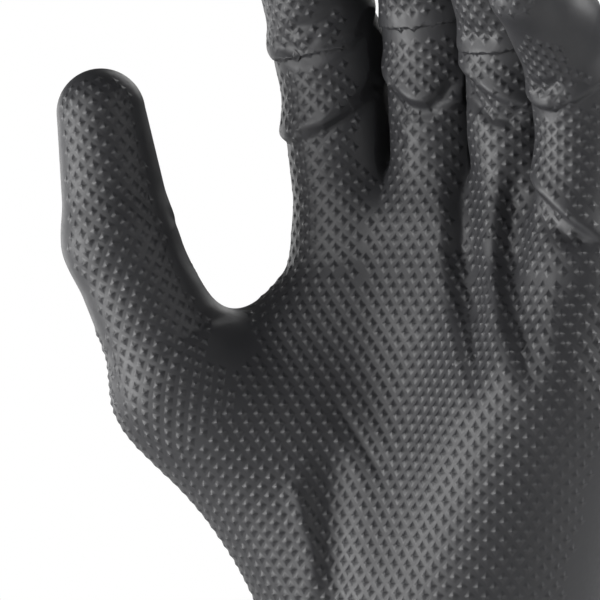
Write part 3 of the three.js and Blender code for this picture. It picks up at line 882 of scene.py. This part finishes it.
def palm_nodes(side):
    """Lattice nodes on the palm or the back of the hand and down over the wrist."""
    rows = np.arange(math.ceil(CUFF_SHARE * CUFF_LENGTH / (0.5 * GRIP_LENGTH)), MOST_ROWS)
    z = rows * 0.5 * GRIP_LENGTH
    kept = z < CUFF_LENGTH + PALM_SHARE * PALM_LENGTH
    rows, z = rows[kept], z[kept]
    heights = np.array([0, CUFF_LENGTH, CUFF_LENGTH + PALM_LENGTH])
    x = np.interp(z, heights, [0, 0, PALM_SHIFT[0] * PALM_BREADTH])
    y = np.interp(z, heights, [0, 0, PALM_SHIFT[1] * PALM_THICKNESS])
    origins = np.stack([x, y, z], 1)
    way = np.tile([0.0, 0.0, 1.0], (len(z), 1))
    front = np.tile([0.0, -1.0 * side, 0.0], (len(z), 1))
    nodes, which = lattice_rows(origins, way, front, PALM_SPREAD, rows[0])
    return nodes, way[which], front[which]


def owner_of(p):
    """Which part each point belongs to: 0 to 3 for fingers, 4 for the thumb, 5 for the palm."""
    x, z = p[:, 0], p[:, 2]
    slot = np.zeros(len(p), int)
    for left, right in zip(FINGERS[:-1], FINGERS[1:]):
        slot += (x > gap_at(left, right, z)).astype(int)
    finger = z > CUFF_LENGTH + KNUCKLE_SHARE * PALM_LENGTH
    knuckle, joint = JOINTS["thumb"][:2]
    beyond = (p - knuckle) @ unit(joint - knuckle) > THUMB_SHARE * DIGITS["thumb"]["length"]
    thumb = beyond & (digit_distance(np.asarray(p, np.float32), "thumb", True) < THUMB_NEAR)
    return np.where(thumb, 4, np.where(finger, slot, 5))


def good_nodes(nodes, facing, least, number):
    """Which nodes lie on their own digit's smooth film and face its front or back."""
    good = (facing > least) & (np.abs(in_chunks(whole_hand, nodes)) < NODE_OFF)
    good &= nodes[:, 2] > CUFF_SHARE * CUFF_LENGTH
    if number < len(DIGITS):
        good &= owner_of(nodes) == number
    return good & (np.linalg.norm(slope(whole_hand, nodes, FLAT_REACH), axis=1) > LEAST_FLAT)


def grip_nodes(side):
    """All nodes of one side: place, normal, direction up the digit, and how high the diamond stands."""
    taken = None
    kept = []
    spacing = NODE_CLEAR * 0.5 * math.hypot(GRIP_WIDTH, GRIP_LENGTH)
    groups = [digit_nodes(name, side) for name in DIGITS] + [palm_nodes(side)]
    for number, (nodes, ways, fronts) in enumerate(groups):
        nodes, normals = settle(whole_hand, nodes, most=1.0, rounds=2, reach=0.6)
        facing = (normals * fronts).sum(-1)
        least = DIGIT_FACING if number < len(DIGITS) else PALM_FACING
        for k in np.flatnonzero(good_nodes(nodes, facing, least, number)):
            if taken and taken.find_range(nodes[k].tolist(), spacing):
                continue
            bare = np.linalg.norm(nodes[k] - palm_point(*WEB_MIDDLE)) / WEB_REACH
            if bare > WEB_BARE:
                edge = min(1.0, (facing[k] - least) / EDGE_FADE + EDGE_HEIGHT)
                height = edge * min(1.0, WEB_RISE * (bare - WEB_LOW))
                kept.append((nodes[k], normals[k], ways[k], height))
        taken = kdtree.KDTree(max(1, len(kept)))
        for k, entry in enumerate(kept):
            taken.insert(entry[0].tolist(), k)
        taken.balance()
    return kept


# The diamonds themselves

def feet_at(frames, x, y, size):
    """Where one corner of each diamond meets the film, and the film's normals there."""
    place, _, up, right, _ = frames
    wide = 0.5 * GRIP_SHARE * GRIP_WIDTH
    tall = 0.5 * GRIP_SHARE * GRIP_LENGTH
    spots = place + (right * x * wide + up * y * tall) * size
    return settle(whole_hand, spots, most=0.4, rounds=1, reach=0.3)


def grip_frames(side):
    """Place, normal, ways up and right, and height of each diamond, on even film alone."""
    nodes = grip_nodes(side)
    place, normal, way = (np.array([node[i] for node in nodes], float) for i in range(3))
    height = np.array([node[3] for node in nodes])
    normal = unit(normal)
    up = unit(way - (way * normal).sum(-1, keepdims=True) * normal)
    frames = [place, normal, up, np.cross(up, normal), height]
    even = np.full(len(nodes), True)
    for x, y in CORNERS:
        _, skin = feet_at(frames, x, y, 1.0)
        even &= (skin * normal).sum(-1) > EVEN_FILM
    return [part[even] for part in frames]


def diamond_faces():
    """The triangles of one diamond: its rings, its point and its root below the film."""
    last = 4 * len(GRIP_RINGS) - 4
    top, root = last + 4, last + 5
    faces = []
    for ring in range(0, last, 4):
        for k in range(4):
            a, b = ring + k, ring + (k + 1) % 4
            faces += [(a, b, b + 4), (a, b + 4, a + 4)]
    for k in range(4):
        faces.append((last + k, last + (k + 1) % 4, top))
        faces.append((k, root, (k + 1) % 4))
    return np.array(faces)


def make_grip(name, side, material, random):
    """The raised diamonds of the palm side (side 1) or the back (side -1), as one mesh."""
    frames = grip_frames(side)
    place, normal, up, right, height = frames
    count = len(place)
    height = height * (GRIP_HEIGHT * random.uniform(*GRIP_UNEVEN, count))
    tilt = random.normal(0, GRIP_TILT, (count, 2))
    lean = right * tilt[:, :1] + up * tilt[:, 1:]
    points, normals = [], []
    for size, lift, slant in GRIP_RINGS:
        for x, y in CORNERS:
            foot, skin = feet_at(frames, x, y, size)
            skin = unit(skin + UPRIGHT * normal)
            points.append(foot + skin * (lift * height)[:, None] + lean * max(lift, 0))
            normals.append(unit(skin + (right * x + up * y) * slant))
    points += [place + lean + normal * height[:, None], place - normal * GRIP_ROOT]
    normals += [unit(normal + lean), -normal]
    starts = np.arange(count)[:, None, None] * len(points)
    points, normals = np.stack(points, 1), np.stack(normals, 1)
    mesh = make_mesh(name, points.reshape(-1, 3), (starts + diamond_faces()).reshape(-1, 3))
    mesh.normals_split_custom_set_from_vertices(normals.reshape(-1, 3).tolist())
    return add_object(name, mesh, material)


# Materials

def new_material(name):
    """A material, its nodes, its links and its shader."""
    material = bpy.data.materials.new(name)
    material.use_nodes = True
    tree = material.node_tree
    return material, tree.nodes, tree.links, tree.nodes["Principled BSDF"]


def add_noise(nodes, links, place, scale, detail):
    """A noise texture in the object's own space."""
    noise = nodes.new("ShaderNodeTexNoise")
    noise.inputs["Scale"].default_value = scale
    noise.inputs["Detail"].default_value = detail
    links.new(place.outputs["Object"], noise.inputs["Vector"])
    return noise


def nitrile(name, grain, shine):
    """Satin black nitrile with a fine skin and slightly uneven gloss."""
    material, nodes, links, shader = new_material(name)
    place = nodes.new("ShaderNodeTexCoord")
    cloud = add_noise(nodes, links, place, CLOUD_SCALE, 4)
    tone = nodes.new("ShaderNodeMixRGB")
    tone.inputs["Color1"].default_value = BLACK
    tone.inputs["Color2"].default_value = WORN_BLACK
    links.new(cloud.outputs["Fac"], tone.inputs["Fac"])
    links.new(tone.outputs["Color"], shader.inputs["Base Color"])
    skin = add_noise(nodes, links, place, SKIN_SCALE, 3)
    rough = nodes.new("ShaderNodeMapRange")
    rough.inputs["To Min"].default_value = shine - 0.07
    rough.inputs["To Max"].default_value = shine + 0.09
    links.new(skin.outputs["Fac"], rough.inputs["Value"])
    links.new(rough.outputs["Result"], shader.inputs["Roughness"])
    bump = nodes.new("ShaderNodeBump")
    bump.inputs["Strength"].default_value = 0.5
    bump.inputs["Distance"].default_value = grain * MM
    links.new(skin.outputs["Fac"], bump.inputs["Height"])
    links.new(bump.outputs["Normal"], shader.inputs["Normal"])
    shader.inputs["IOR"].default_value = 1.52
    return material


def floor_material():
    material, _, _, shader = new_material("pale_floor")
    shader.inputs["Base Color"].default_value = PALE
    shader.inputs["Roughness"].default_value = 0.8
    return material


# Camera, light and floor

def make_camera():
    """A long lens that looks at the palm along BACK."""
    data = bpy.data.cameras.new("camera")
    camera = bpy.data.objects.new("camera", data)
    bpy.context.scene.collection.objects.link(camera)
    data.sensor_width = SENSOR_WIDTH
    data.lens = SENSOR_WIDTH * VIEW_DISTANCE / VIEW_WIDTH
    data.clip_start, data.clip_end = 0.01, 20
    camera.location = (RIGHT * VIEW_CENTRE[0] + UP * VIEW_CENTRE[1] + BACK * VIEW_DISTANCE) * MM
    camera.rotation_mode = "QUATERNION"
    camera.rotation_quaternion = (-BACK).to_track_quat("-Z", "Y")
    bpy.context.scene.camera = camera


def add_light(name, turn, rise, size, power):
    """A soft square panel, turned from the camera to its right and raised, both in degrees."""
    data = bpy.data.lights.new(name, "AREA")
    data.shape = "SQUARE"
    data.size = size
    data.energy = power
    lamp = bpy.data.objects.new(name, data)
    bpy.context.scene.collection.objects.link(lamp)
    turn, rise = math.radians(turn), math.radians(rise)
    way = (RIGHT * math.sin(turn) + BACK * math.cos(turn)) * math.cos(rise) + UP * math.sin(rise)
    lamp.location = LIGHT_AIM + way * LIGHT_DISTANCE
    lamp.rotation_mode = "QUATERNION"
    lamp.rotation_quaternion = (-way).to_track_quat("-Z", "Y")
    lamp.visible_camera = False


def make_world():
    """A white backdrop for the camera, which gives only a little light."""
    world = bpy.data.worlds.new("studio")
    bpy.context.scene.world = world
    world.use_nodes = True
    nodes, links = world.node_tree.nodes, world.node_tree.links
    seen = nodes["Background"]
    around = nodes.new("ShaderNodeBackground")
    for background, strength in ((seen, 1.0), (around, ROOM_LIGHT)):
        background.inputs["Color"].default_value = WHITE
        background.inputs["Strength"].default_value = strength
    path = nodes.new("ShaderNodeLightPath")
    mix = nodes.new("ShaderNodeMixShader")
    links.new(path.outputs["Is Camera Ray"], mix.inputs["Fac"])
    links.new(around.outputs["Background"], mix.inputs[1])
    links.new(seen.outputs["Background"], mix.inputs[2])
    links.new(mix.outputs["Shader"], nodes["World Output"].inputs["Surface"])
    bpy.context.scene.view_settings.view_transform = "Standard"


def make_floor():
    """A round pale floor just below the rolled edge."""
    angle = np.linspace(0, 2 * math.pi, FLOOR_SIDES, endpoint=False)
    level = np.full(FLOOR_SIDES, -FLOOR_DEPTH * BEAD_RADIUS)
    ring = np.stack([FLOOR_RADIUS * np.cos(angle), FLOOR_RADIUS * np.sin(angle), level], 1)
    points = np.concatenate([ring, [[0, 0, level[0]]]])
    k = np.arange(FLOOR_SIDES)
    faces = np.stack([k, (k + 1) % FLOOR_SIDES, np.full(FLOOR_SIDES, FLOOR_SIDES)], 1)
    floor = add_object("floor", make_mesh("floor", points, faces, smooth=False), floor_material())


random = np.random.default_rng(7)
film_material = nitrile("nitrile_film", 0.05, 0.48)
grip_material = nitrile("nitrile_grip", 0.03, 0.47)
film = make_film(film_material)
bead = make_bead(film_material)
palm_grip = make_grip("grip_palm_side", 1, grip_material, random)
back_grip = make_grip("grip_back_side", -1, grip_material, random)
for piece in (film, bead, palm_grip, back_grip):
    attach(piece, "root")
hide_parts("glove")
make_camera()
make_world()
make_floor()
for light in LIGHTS:
    add_light(*light)
